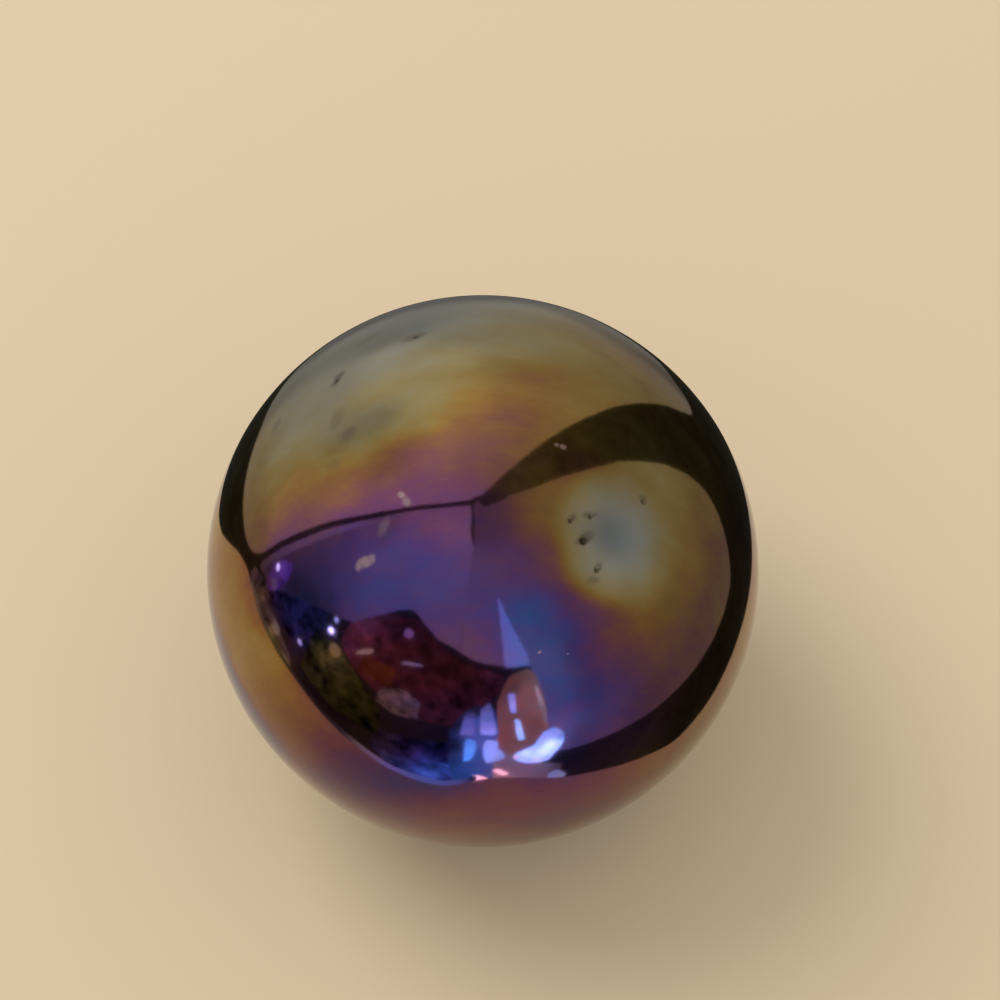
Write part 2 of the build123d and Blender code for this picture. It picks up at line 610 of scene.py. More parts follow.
@dataclass(frozen=True)
class LustreGlass:
    """Finish of the ball: opaque dark glass under a lustre film."""

    name: str = "lustre_glass"
    thinnest: float = 30.0
    thickest: float = 150.0
    ramp_stops: int = 31
    drift: float = 0.06
    cloud: float = 17.0
    mottle: float = 9.0
    veil: Colour = (0.20, 0.18, 0.16)
    least_veil: float = 0.02
    most_veil: float = 0.08
    veil_from: float = 0.3
    veil_to: float = 0.7
    bare_glass: Colour = (0.030, 0.022, 0.015)
    worn_film: Colour = (0.075, 0.060, 0.055)
    dust: Colour = (0.48, 0.33, 0.33)
    most_worn: float = 0.7
    most_dusty: float = 0.75
    pit_spill: float = 1.05
    pit_dull_from: float = 0.08
    crumbs: Grain = Grain(38.0, 2.0)
    ruffle: float = 0.022
    pit_ruffle: float = 0.010
    polish: float = 0.07
    haze_grain: Grain = Grain(5.0, 5.0, 0.6)
    haze: float = 0.04
    dull: float = 0.60
    ripple_grain: Grain = Grain(14.0, 2.0)
    ripple_height: float = 0.000002

    def colours(self, wiring: Wiring, thickness: Socket) -> Socket:
        """Turns a socket with nanometres into the film's colour.

        Args:
            wiring: the material's wiring.
            thickness: socket with nanometres.

        Returns:
            The colour.
        """
        ramp = wiring.add("ShaderNodeValToRGB")
        wiring.feed(ramp.inputs["Fac"], wiring.span(thickness, self.thinnest, self.thickest))
        film = ThinFilm()
        stops = ramp.color_ramp.elements
        for number in range(self.ramp_stops):
            share = number / (self.ramp_stops - 1)
            ends = {0: stops[0], self.ramp_stops - 1: stops[-1]}
            stop = ends.get(number) or stops.new(share)
            stop.position = share
            stop.color = (*film.colour(self.thinnest + share * (self.thickest - self.thinnest)), 1.0)
        return ramp.outputs["Color"]

    def masks(self, wiring: Wiring, direction: Socket, radius: float) -> dict[Mark, Socket]:
        """Marks every flaw of each kind, with a ruffled outline.

        Args:
            wiring: the material's wiring.
            direction: socket with the unit direction from the ball's centre.
            radius: the ball's radius in metres.

        Returns:
            For each kind of mark, a mask that is 1 inside its flaws.
        """
        crumble = wiring.wander(direction, self.crumbs)
        ruffles = {Mark.PIT: self.pit_ruffle, Mark.SMUDGE: self.ruffle, Mark.FLECK: self.ruffle}
        places = {
            mark: wiring.vector("ADD", direction, wiring.vector("SCALE", crumble, Scale=ruffle))
            for mark, ruffle in ruffles.items()
        }
        spot = spot_group()
        found: dict[Mark, Socket] = {}
        for flaw in FLAWS:
            spill = self.pit_spill if flaw.mark is Mark.PIT else 1.0
            mask = spot.place(
                wiring,
                Direction=places[flaw.mark],
                Centre=tuple(ball_direction(flaw.turn, flaw.rise)),
                Turn=tuple(flaw.axes().to_euler()),
                Size=tuple(side * spill * MM / 2 / radius for side in (flaw.length, flaw.width, flaw.width)),
                Strength=flaw.strength,
            ).outputs["Mask"]
            known = found.get(flaw.mark)
            found[flaw.mark] = wiring.maths("MAXIMUM", known, mask) if known else mask
        return found

    def material(self, radius: float) -> bpy.types.Material:
        """Builds the material for a ball of this radius in metres.

        Args:
            radius: the ball's radius in metres.

        Returns:
            The material.
        """
        made = bpy.data.materials.new(self.name)
        wiring = cleared(made)
        direction = wiring.vector("NORMALIZE", wiring.add("ShaderNodeTexCoord").outputs["Object"])
        film = FilmField().group().place(
            wiring, Direction=direction, Drift=self.drift, Cloud=self.cloud, Mottle=self.mottle
        )
        haze = wiring.noise(direction, self.haze_grain).outputs["Fac"]
        veil = wiring.blend(wiring.ease(haze, self.veil_from, self.veil_to), self.least_veil, self.most_veil)
        colour = wiring.mix(veil, self.colours(wiring, film.outputs["Thickness"]), self.veil)

        masks = self.masks(wiring, direction, radius)
        worn = wiring.maths("MULTIPLY", masks[Mark.SMUDGE], self.most_worn)
        dusty = wiring.maths("MULTIPLY", masks[Mark.FLECK], self.most_dusty)
        colour = wiring.mix(worn, colour, self.worn_film)
        colour = wiring.mix(dusty, colour, self.dust)
        colour = wiring.mix(masks[Mark.PIT], colour, self.bare_glass)

        rough = wiring.maths("MULTIPLY_ADD", haze, self.haze, self.polish - self.haze / 2)
        rim = wiring.ease(masks[Mark.PIT], 0.0, self.pit_dull_from)
        spoiled = wiring.maths("MAXIMUM", wiring.maths("MAXIMUM", worn, dusty), rim)

        ripple = wiring.fill(
            wiring.add("ShaderNodeBump"),
            Distance=self.ripple_height,
            Height=wiring.noise(direction, self.ripple_grain).outputs["Fac"],
        )
        glass = wiring.fill(
            wiring.add("ShaderNodeBsdfPrincipled"),
            Base_Color=colour,
            Metallic=1.0,
            Roughness=wiring.blend(spoiled, rough, self.dull),
            Normal=ripple.outputs["Normal"],
        )
        wiring.finish("ShaderNodeOutputMaterial", glass)
        return made


@dataclass
class Ball:
    """The marble itself: a true ball of even faces, with its pits dished into the skin."""

    name: str = "marble_skin"
    node: str = "marble"
    cells_per_edge: int = 96
    fine_reaches: tuple[float, ...] = (0.55, 0.40, 0.28)

    def __post_init__(self) -> None:
        """Reads the ball's radius from the frame."""
        low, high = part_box(self.node)
        self.radius = max((high - low) / 2)

    def pits(self) -> list[Flaw]:
        """The flaws that are cut into the mesh."""
        return [flaw for flaw in FLAWS if flaw.mark is Mark.PIT]

    def skin(self) -> bmesh.types.BMesh:
        """Builds the plain ball from a cube whose cells are spread evenly over it.

        Returns:
            The mesh, with every point on the sphere.
        """
        mesh = bmesh.new()
        bmesh.ops.create_cube(mesh, size=CUBE_SIDE)
        bmesh.ops.subdivide_edges(mesh, edges=mesh.edges[:], cuts=self.cells_per_edge - 1, use_grid_fill=True)
        for point in mesh.verts:
            spread = Vector([tan(part * EIGHTH_TURN) for part in point.co])
            point.co = spread.normalized() * self.radius
        return mesh

    def refine(self, mesh: bmesh.types.BMesh) -> None:
        """Cuts the cells round each pit finer, ring inside ring.

        Args:
            mesh: the ball's mesh, changed in place.
        """
        centres = [ball_direction(pit.turn, pit.rise) * self.radius for pit in self.pits()]
        for reach in self.fine_reaches:
            near = {p for p in mesh.verts if any((p.co - c).length < reach * MM for c in centres)}
            edges = [e for e in mesh.edges if e.verts[0] in near and e.verts[1] in near]
            bmesh.ops.subdivide_edges(mesh, edges=edges, cuts=1, use_grid_fill=True)
            for point in mesh.verts:
                point.co = point.co.normalized() * self.radius

    def dish(self, mesh: bmesh.types.BMesh, pit: Flaw) -> None:
        """Pushes the skin inwards to a shallow round dish.

        Args:
            mesh: the ball's mesh, changed in place.
            pit: the pit.
        """
        rim, depth = pit.width * MM / 2, pit.depth * MM
        hollow = depth - (self.radius - sqrt(self.radius**2 - rim**2))
        bend = (rim**2 + hollow**2) / (2 * hollow)
        centre = ball_direction(pit.turn, pit.rise) * (self.radius - depth + bend)
        for point in mesh.verts:
            if (point.co - centre).length < bend:
                along = point.co.normalized()
                reach = centre.dot(along)
                point.co = along * (reach - sqrt(bend**2 - centre.length_squared + reach**2))

    def build(self) -> bpy.types.Object:
        """Makes the ball's object, dresses it and fixes it to the frame.

        Returns:
            The object.
        """
        mesh = self.skin()
        self.refine(mesh)
        for pit in self.pits():
            self.dish(mesh, pit)
        data = bpy.data.meshes.new(self.name)
        mesh.to_mesh(data)
        mesh.free()
        data.shade_smooth()
        piece = bpy.data.objects.new(self.name, data)
        bpy.context.scene.collection.objects.link(piece)
        finish = LustreGlass()
        data.materials.append(finish.material(self.radius))
        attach(piece, "root")
        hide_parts(self.node)
        return piece


def smooth_line(places: Sequence[float], heights: Sequence[float], at: np.ndarray) -> np.ndarray:
    """Draws a smooth curve through a few points, which never swings past them.

    Args:
        places: where the points are, rising.
        heights: how high they are.
        at: where the curve is wanted.

    Returns:
        The curve's height at each of those places.
    """
    known, high = np.array(places, dtype=float), np.array(heights, dtype=float)
    steps = np.diff(high) / np.diff(known)
    product = steps[:-1] * steps[1:]
    even = 2 * product / np.where(product > 0, steps[:-1] + steps[1:], 1.0)
    slopes = np.concatenate([steps[:1], np.where(product > 0, even, 0.0), steps[-1:]])
    span = np.clip(np.searchsorted(known, at, side="right") - 1, 0, len(known) - 2)
    gap = known[span + 1] - known[span]
    share = (at - known[span]) / gap
    leaving = (1 + 2 * share) * (1 - share) ** 2 * high[span] + share * (1 - share) ** 2 * gap * slopes[span]
    coming = share**2 * (3 - 2 * share) * high[span + 1] - share**2 * (1 - share) * gap * slopes[span + 1]
    return leaving + coming


@dataclass(frozen=True)
class Card:
    """A card round the ball that only the shine sees, drawn through its uprights.

    Each upright is an azimuth and the elevation of its two ends, and each glow is an azimuth, an
    elevation and how brightly the card shines there. The light runs from each glow into the next over
    the spread, in degrees. Clutter is how far small patches of it swing above and below that light.
    """

    name: str
    uprights: tuple[Triple, ...]
    glows: tuple[Triple, ...]
    tint: Colour = (1.0, 1.0, 1.0)
    distance: float = 0.60
    spread: float = 6.0
    clutter: float = 0.0

    def levels(self, directions: np.ndarray) -> np.ndarray:
        """Weighs the card's glows by how near they are.

        Args:
            directions: unit directions, one a row.

        Returns:
            How brightly the card shines in each of them.
        """
        weights = np.zeros(len(directions))
        amounts = np.zeros(len(directions))
        for azimuth, elevation, level in self.glows:
            facing = directions @ np.array(room_direction(azimuth, elevation))
            gap = np.degrees(np.arccos(np.clip(facing, -1.0, 1.0)))
            weight = (gap**2 + self.spread**2) ** -2
            weights += weight
            amounts += weight * level
        return amounts / weights


ZENITH = 90.0
PANE_BLUE = (0.25, 0.95, 1.0)
PANE_PALE = (0.80, 1.0, 1.0)
SPARK = (0.60, 1.0, 0.80)
ROSE = (1.0, 0.85, 0.40)
LAST_SIDE = 0.48 * pi
ROUND_SIDES = 7
LIGHT_DISTANCE = 0.55


def small_light(name: str, azimuth: float, elevation: float, size: float, level: float, tint: Colour) -> Card:
    """Makes a small round light.

    Args:
        name: the card's name.
        azimuth: where its middle is.
        elevation: where its middle is.
        size: half its width in degrees.
        level: how brightly it shines.
        tint: its colour.

    Returns:
        The card.
    """
    half_width = size / cos(radians(elevation))
    uprights = tuple(
        (azimuth + half_width * sin(turn), elevation - size * cos(turn), elevation + size * cos(turn))
        for turn in np.linspace(-LAST_SIDE, LAST_SIDE, ROUND_SIDES)
    )
    return Card(name, uprights, ((azimuth, elevation, level),), tint, LIGHT_DISTANCE)


CARDS = (
    # A dim tent closes the whole room, so that every gap between the cards is dark.
    Card(
        "tent",
        uprights=((-180, -90, ZENITH), (0, -90, ZENITH), (180, -90, ZENITH)),
        glows=(
            (45, 70, 0.16), (50, 50, 0.10), (56, 25, 0.055), (52, 0, 0.035), (40, -30, 0.020),
            (90, -50, 0.020), (140, -45, 0.080), (-45, -38, 0.025), (-90, -30, 0.030), (-105, -12, 0.110),
            (-125, -20, 0.035), (-150, -25, 0.060), (-165, 5, 0.080), (180, 25, 0.060), (-80, 60, 0.050),
            (0, -90, 0.020),
        ),
        tint=(0.95, 1.0, 0.75), distance=0.70, spread=8.0, clutter=0.25,
    ),
    Card(
        "back_wall",
        uprights=(
            (-110, 83.5, ZENITH), (-104, 79.3, ZENITH), (-97, 70.1, ZENITH), (-94, 60.7, ZENITH),
            (-92, 51, ZENITH), (-89.7, 40.9, ZENITH), (-87.2, 30.5, ZENITH), (-85.5, 19.2, ZENITH),
            (-83.3, 6.8, ZENITH), (-80.5, -7.3, ZENITH), (-76, -14, ZENITH), (-65, -19, ZENITH),
            (-48, -24.5, ZENITH), (-40, -28, ZENITH), (-30, -35, ZENITH), (-14, -45, ZENITH),
            (2, -46, ZENITH), (18, -41, ZENITH), (26, -34, ZENITH), (38, -24, ZENITH), (40, -16, ZENITH),
            (41, 0, ZENITH), (42, 30, ZENITH),
        ),
        glows=(
            (-72, -12, 0.52), (-48, -18, 0.50), (-20, -25, 0.36), (-30, -32, 0.26), (-15, -38, 0.14),
            (0, -42, 0.14), (10, -18, 0.46), (18, -30, 0.24), (27, -32, 0.12), (33, -20, 0.36),
            (-74, 8, 0.90), (-58, 3, 0.66), (-38, 2, 0.58), (-17, -8, 0.36), (-24, 10, 0.76), (-3, 5, 0.54),
            (18, 5, 0.57), (28, -8, 0.48), (40, -6, 0.36), (37, 6, 0.48), (-79, 35, 1.10), (-67, 30, 0.84),
            (-54, 26, 0.52), (-43, 34, 0.56), (-28, 25, 0.88), (-10, 26, 0.88), (8, 27, 0.66),
            (34, 22, 0.58), (-86, 55, 1.08), (-60, 48, 0.72), (-40, 52, 0.84), (-20, 45, 0.97),
            (-4, 50, 1.10), (14, 48, 0.84), (34, 46, 0.66), (-50, 66, 1.10), (-28, 60, 1.20),
            (-6, 64, 0.98), (10, 66, 0.84), (36, 62, 0.66), (-72, 72, 0.98), (-15, 76, 0.86),
            (28, 76, 0.62),
        ),
        tint=(1.0, 0.99, 0.96),
    ),
    Card(
        "side_wall",
        uprights=(
            (61.4, 0, 8), (62, -6.5, 18), (63, -11.5, 32), (66.4, -18, 46), (70, -23, 59), (77, -28.6, 70),
            (91, -29.5, 80), (119, -27.7, 83.5), (145, -24.2, 85), (154, -23, 85), (157.5, -20, 85),
            (159.2, -12, 85), (160, 6, 85), (161.2, 19, 85), (171, 21, 85.3), (189.6, 27, 86),
            (190.4, 72.3, 86), (199, 79.7, 86.5), (222, 85, 87),
        ),
        glows=(
            (64, -5, 0.36), (76, -20, 0.31), (96, -22, 0.32), (120, -22, 0.33), (145, -18, 0.52),
            (156, -12, 1.15), (70, 14, 0.46), (88, 5, 0.46), (105, -2, 0.40), (122, -2, 0.42),
            (140, 0, 0.46), (154, 2, 0.78), (76, 38, 0.45), (90, 24, 0.45), (106, 18, 0.53),
            (124, 16, 0.45), (140, 18, 0.50), (157, 18, 0.86), (84, 54, 0.54), (99, 40, 0.33),
            (117, 31, 0.60), (114, 44, 0.55), (132, 40, 0.50), (150, 38, 0.64), (162, 34, 0.80),
            (176, 40, 0.72), (100, 66, 0.48), (130, 62, 0.50), (160, 62, 0.60), (180, 58, 0.66),
            (120, 76, 0.42), (160, 78, 0.38), (210, 84, 0.38),
        ),
        tint=(1.0, 0.98, 0.96),
    ),
    Card(
        "front_wall",
        uprights=(
            (189.8, 27, 68), (193, 28.5, 71), (199, 30, 75.3), (205, 33, 79), (215, 37, 81.8),
            (228, 27.5, 83.4), (236, 18, 81.7), (247, 12, 78.6), (257.9, 4, 69.7), (262.7, 0, 60.4),
            (265.0, -3, 50.7), (267.6, -5, 40.7), (270.2, -7, 30.2), (271.9, -8, 18.9), (274.2, -9, 6.5),
            (277.2, -10, -7.7),
        ),
        glows=(
            (188, 45, 0.70), (205, 60, 0.80), (222, 72, 0.98), (235, 80, 0.80), (243, 57, 0.84),
            (258, 66, 0.86), (262, 52, 0.58), (267, 33, 0.46), (245, 43, 0.80), (254, 44, 0.64),
            (260, 30, 0.48), (237, 36, 0.72), (248, 28, 0.52), (258, 19, 0.30), (268, 14, 0.34),
            (230, 30, 0.70), (238, 21, 0.58), (246, 14, 0.24), (253, 9, 0.12), (262, 5, 0.12),
            (271, -1, 0.26), (275, -7, 0.20),
        ),
        tint=(1.0, 0.99, 1.0),
    ),
    Card(
        "cornice",
        uprights=(
            (262.4, 50.2, 61), (265.0, 40.2, 50.4), (267.4, 29.6, 41.7), (269.2, 18.2, 34.3),
            (270.7, 12.2, 27.3), (271.9, 5.7, 20), (273.7, -1, 10.6), (275.2, -8.7, 3), (277.1, -8.5, -7.5),
        ),
        glows=((263, 54, 0.70), (268, 35, 0.84), (272, 18, 0.74), (275, 2, 0.55), (277, -7, 0.28)),
        tint=(0.90, 1.0, 0.98), distance=0.59,
    ),
    Card(
        "violet_board",
        uprights=((265, -1, 4), (266.5, -5, 6.4), (268.5, -8, 7.4), (270.8, -9, 4.2), (272.8, -5, -1)),
        glows=((269, 3, 0.95), (270, -5, 0.5), (266, 0, 0.6)),
        tint=(0.50, 0.36, 1.0), distance=0.58, clutter=0.8,
    ),
    Card(
        "tan_fringe",
        uprights=((250, -24, -16), (256, -22, -13.5), (264, -20, -10.5), (270, -19, -9), (279, -19, -13)),
        glows=(
            (269, -10, 0.38), (265, -12, 0.14), (260, -13, 0.45), (256, -15, 0.30), (252, -20, 0.38),
            (273, -15, 0.14),
        ),
        tint=(0.90, 0.92, 1.0), distance=0.62, spread=4.0, clutter=1.3,
    ),
    Card(
        "bright_corner",
        uprights=((161.6, 20, 24), (165, 20, 34), (170.4, 20.5, 48), (171.4, 21, 49)),
        glows=((168, 30, 1.75),),
        tint=(0.80, 1.0, 1.0), distance=0.58,
    ),
    # Dim boards low in front, for the shine to mirror.
    Card(
        "red_board",
        uprights=(
            (172, 12, 17), (178, 6, 20), (184, -2, 22), (196, -6, 27), (212, -2, 34), (226, 2, 30),
            (236, 8, 18),
        ),
        glows=(
            (174, 15, 0.28), (181, 11, 0.22), (186, 15, 0.11), (190, 5, 0.16), (197, 3, 0.26),
            (205, 24, 0.14), (205, 8, 0.17), (220, 6, 0.22), (232, 14, 0.55),
        ),
        tint=(1.0, 0.40, 0.32), distance=0.66, clutter=0.7,
    ),
    Card(
        "amber_board",
        uprights=((213, 4, 12), (226, 3, 11)),
        glows=((220, 8, 0.30),),
        tint=(1.0, 0.42, 0.10), distance=0.64, clutter=0.5,
    ),
    Card(
        "grey_board",
        uprights=((202, -6, 2), (209, -7, 5), (217, -5, 1)),
        glows=((207, 0, 0.62), (214, -4, 0.40)),
        tint=(0.90, 1.0, 0.62), distance=0.64, clutter=1.0,
    ),
    Card(
        "green_board",
        uprights=((215, -20, -8), (226, -20, 1), (236, -18, 6), (246, -14, 2)),
        glows=((238, 1, 0.34), (230, -10, 0.12), (218, -14, 0.07)),
        tint=(0.62, 1.0, 0.15), distance=0.64, clutter=1.3,
    ),
    Card(
        "blue_board",
        uprights=((182, -40, -29.4), (187, -42, -25), (196, -42, -26), (206, -38, -28), (214, -34, -27)),
        glows=((188, -27, 1.10), (196, -33, 1.30), (210, -31, 0.30), (200, -24, 0.25)),
        tint=(0.36, 0.62, 1.0), distance=0.64, clutter=0.8,
    ),
    Card(
        "violet_shade",
        uprights=((189, -26, -14), (197, -32, -15), (207, -32, -16), (217, -28, -18)),
        glows=(
            (197, -28, 0.80), (192, -24, 0.34), (196, -20, 0.18), (203, -25, 0.30), (208, -21, 0.18),
            (203, -16, 0.06), (213, -20, 0.08),
        ),
        tint=(0.40, 0.46, 1.0), distance=0.66, spread=3.0, clutter=1.3,
    ),
    Card(
        "blue_shade",
        uprights=((244, -6, 14), (252, -9, 9), (262, -10, 5), (268, -9, 0)),
        glows=((256, 2, 0.24), (262, -4, 0.14), (249, 6, 0.14)),
        tint=(0.50, 0.60, 1.0), distance=0.66, clutter=1.2,
    ),
    Card(
        "warm_panel",
        uprights=(
            (158.2, -11, 3), (159.6, -14, 13), (160.8, -17, 17), (162.2, -18, 18.3), (165.5, -20, 18.1),
            (169.2, -20, 17), (171.2, -20, 14.8), (175, -16, 6),
        ),
        glows=((160, 0, 2.6), (164, 8, 2.3), (164, -6, 1.8), (170, 12, 1.0), (172, -6, 1.8)),
        tint=(1.0, 0.53, 0.18), distance=0.59, spread=2.5,
    ),
    # Pane lights low in front: two columns of panes, a thin strip and a bright slanting one.
    Card(
        "pane_haze",
        uprights=(
            (171.5, -30, -8), (175, -40, 2), (180, -40, 4.5), (184, -42, 3.5), (188, -36, -1),
            (191, -30, -8),
        ),
        glows=(
            (182, -13, 1.9), (182, -20, 1.3), (181, -4, 1.7), (182, 3, 0.2), (177, 3, 0.4), (189, -4, 0.18),
            (190, -15, 0.16), (189, -24, 0.50), (189, -33, 0.80), (186, -25, 1.1), (180, -26, 1.3),
            (176, -30, 1.3), (174, -16, 1.3),
        ),
        tint=(0.34, 0.76, 1.0), distance=0.63, spread=2.0,
    ),
    Card(
        "warm_shelf",
        uprights=(
            (154, -33, -30), (158, -40, -28), (166, -40, -24), (170.5, -40, -21), (172.5, -40, -8),
            (175, -40, -9), (176.8, -40, -25),
        ),
        glows=(
            (155, -31, 0.4), (160, -30, 1.3), (166, -29, 1.5), (172, -26, 1.4), (173, -12, 2.0),
            (175, -32, 2.0),
        ),
        tint=(1.0, 0.98, 0.58), distance=0.62, spread=3.0,
    ),
    Card(
        "pane_left_low",
        uprights=(
            (182.3, -15.5, -12.2), (182.8, -18.5, -11.8), (184.6, -22.4, -11.2), (185.9, -23, -12.6),
            (186.4, -23, -19),
        ),
        glows=((185, -18, 5.2), (185, -12, 4.0)),
        tint=PANE_BLUE, spread=3.0,
    ),
    Card(
        "pane_left_high",
        uprights=((182.8, -9.2, 1.6), (185.4, -9.3, 1.2), (186.8, -9.4, -3), (187.6, -9.4, -8.4)),
        glows=((185, -8, 2.6), (185, -4, 2.1), (185, 1, 0.9)),
        tint=(0.46, 0.78, 1.0), spread=2.0,
    ),
    Card(
        "pane_right_low",
        uprights=(
            (173.0, -21, -19.6), (174.2, -22, -16.6), (175.4, -22.5, -12.1), (178.8, -23.4, -11.4),
            (179.9, -20, -14.5),
        ),
        glows=((177, -14, 5.6), (178, -19, 6.2), (174, -21, 4.4)),
        tint=(0.54, 1.0, 0.90), spread=2.0,
    ),
    Card(
        "pane_right_high",
        uprights=((175.5, -8.7, -7.4), (176.6, -9, 1.6), (177.4, -9, 5.8), (180.8, -8.5, 2.6)),
        glows=((178, -8, 5.0), (178, -5, 3.4), (178, -1, 2.1), (178, 5, 1.4)),
        tint=(0.58, 0.96, 1.0), spread=1.5,
    ),
    Card(
        "strip_light_high",
        uprights=((168.5, 0.8, 8), (168.8, 0.5, 9.1), (170.3, 0.6, 9.1), (171.1, 7.6, 9)),
        glows=((170, 8, 3.8), (169, 3, 5.4), (169, 0.5, 4.0)),
        tint=(0.78, 1.0, 0.85), distance=0.57, spread=2.0,
    ),
    Card(
        "strip_light_low",
        uprights=((166.4, -12.8, -12), (167.6, -12.8, -3.6), (168.3, -12.7, -2.8), (169.4, -3.6, -2.7)),
        glows=((168, -4, 8.0), (168, -8, 10.5), (167, -12, 8.5)),
        tint=(0.50, 1.0, 0.66), distance=0.57, spread=2.0,
    ),
    Card(
        "slanting_light",
        uprights=(
            (153.3, -17.6, -14.6), (154.8, -20.8, -11.7), (156.8, -23.2, -10.4), (159.6, -26.2, -10.9),
            (161.4, -26.2, -13.2), (163.2, -26, -16.2), (166.3, -25.1, -17.8), (168.8, -23.4, -19),
            (170.2, -21.8, -20.3),
        ),
        glows=(
            (153.8, -15.6, 4.0), (156.8, -11.6, 5.0), (159.8, -12.8, 6.2), (162, -16, 8.0),
            (155, -19, 11.0), (158, -18.6, 17.5), (160, -21, 16.0), (157, -22.4, 10.5), (159, -25, 8.0),
            (163, -23, 12.6), (164, -18, 9.6), (166, -20, 13.4), (165, -24.4, 8.4), (169, -21.5, 8.5),
        ),
        tint=(0.56, 1.0, 0.85), distance=0.57, spread=0.9,
    ),
    Card(
        "panel_edge",
        uprights=((158.2, -6, -4), (159.0, -9, 4), (160.0, -2, 10), (161.0, 8, 11)),
        glows=((160, 7, 4.4), (159, -3, 2.4)),
        tint=(1.0, 0.80, 0.30), distance=0.57, spread=3.0,
    ),
    Card(
        "rose_light_left",
        uprights=((178.4, -33.4, -32.4), (180, -35, -31), (182.2, -35, -30.2), (183.8, -33.2, -31.8)),
        glows=((181, -32, 11.0),),
        tint=ROSE, distance=LIGHT_DISTANCE,
    ),
    Card(
        "rose_light_right",
        uprights=((171.8, -30.5, -29.7), (173.4, -30.8, -28.2), (175, -30, -27), (176.7, -28.4, -27.2)),
        glows=((174, -28, 11.0),),
        tint=ROSE, distance=LIGHT_DISTANCE,
    ),
    small_light("rose_light_end", 169.4, -21.2, 0.9, 9.0, ROSE),
    Card(
        "dash_light",
        uprights=((203.8, 17.4, 18.2), (206, 16.7, 18), (209.5, 15.7, 17.1), (211.6, 15.3, 16.1)),
        glows=((208, 17, 1.3),),
        tint=PANE_PALE, distance=LIGHT_DISTANCE,
    ),
    Card(
        "warm_light_left",
        uprights=((223.2, 13.4, 14.8), (225, 11.6, 13.9), (227, 9.8, 12.2), (228.8, 8.6, 9.8)),
        glows=((226, 12, 1.9),),
        tint=(0.8, 1.0, 0.4), distance=LIGHT_DISTANCE,
    ),
    Card(
        "low_pale_light",
        uprights=((152.3, -37.8, -36.4), (154, -39, -34.2), (156, -39, -32.8), (158.7, -36.6, -34)),
        glows=((156, -36, 2.7),),
        tint=(0.55, 1.0, 0.75), distance=LIGHT_DISTANCE,
    ),
    small_light("violet_light_left", 212.7, 28.0, 2.0, 1.1, (0.9, 0.8, 1.0)),
    small_light("warm_light_low", 236.4, 3.6, 2.4, 1.5, (0.75, 1.0, 0.2)),
    small_light("tan_light_low", 259.5, -13.4, 2.0, 0.9, (0.7, 0.95, 1.0)),
    small_light("tan_light_side", 268.4, -4.6, 1.6, 0.7, (0.7, 0.9, 1.0)),
    small_light("spark_far_left", 271.1, 0.0, 1.1, 9.0, SPARK),
    small_light("spark_left", 240.8, 8.5, 1.3, 22.0, SPARK),
    small_light("spark_over_it", 241.3, 13.6, 0.9, 6.5, SPARK),
    small_light("spark_low", 249.2, -6.6, 1.0, 5.0, SPARK),
)

# Outline of the pale mat that the ball lies on: azimuth, and distance from the ball's foot in millimetres.
MAT_OUTLINE = (
    (0, 18), (27, 20), (63, 24.5), (85, 24), (110, 21.5), (120, 21), (134, 24), (146, 27.5), (158, 31),
    (176, 36.5), (193, 30.5), (206, 32.3), (214, 35.5), (228, 43), (244, 54), (262, 60), (275, 66), (282, 54),
    (286, 43), (293, 31), (301, 26), (330, 20), (360, 18),
)

# Painted highlight on the mat's near edge, a glowing strip for the light it would catch from the pane lights:
# azimuth and level.
EDGE_GLOWS = (
    (182, 0.0), (187, 1.0), (200, 1.2), (208, 1.2), (215, 0.9), (224, 0.16), (237, 0.08), (250, 0.20),
    (262, 0.35), (271, 0.45), (275, 0.0),
)


def floor_point(azimuth: float, reach: float, height: float) -> Vector:
    """Point at a height, at this reach from the ball's axis."""
    return Vector((reach * sin(radians(azimuth)), reach * cos(radians(azimuth)), height))


def mat_reaches(azimuths: np.ndarray) -> np.ndarray:
    """How far the mat's outline is from the ball's foot at each azimuth, in metres."""
    turns, reaches = zip(*MAT_OUTLINE)
    return smooth_line(turns, reaches, azimuths) * MM


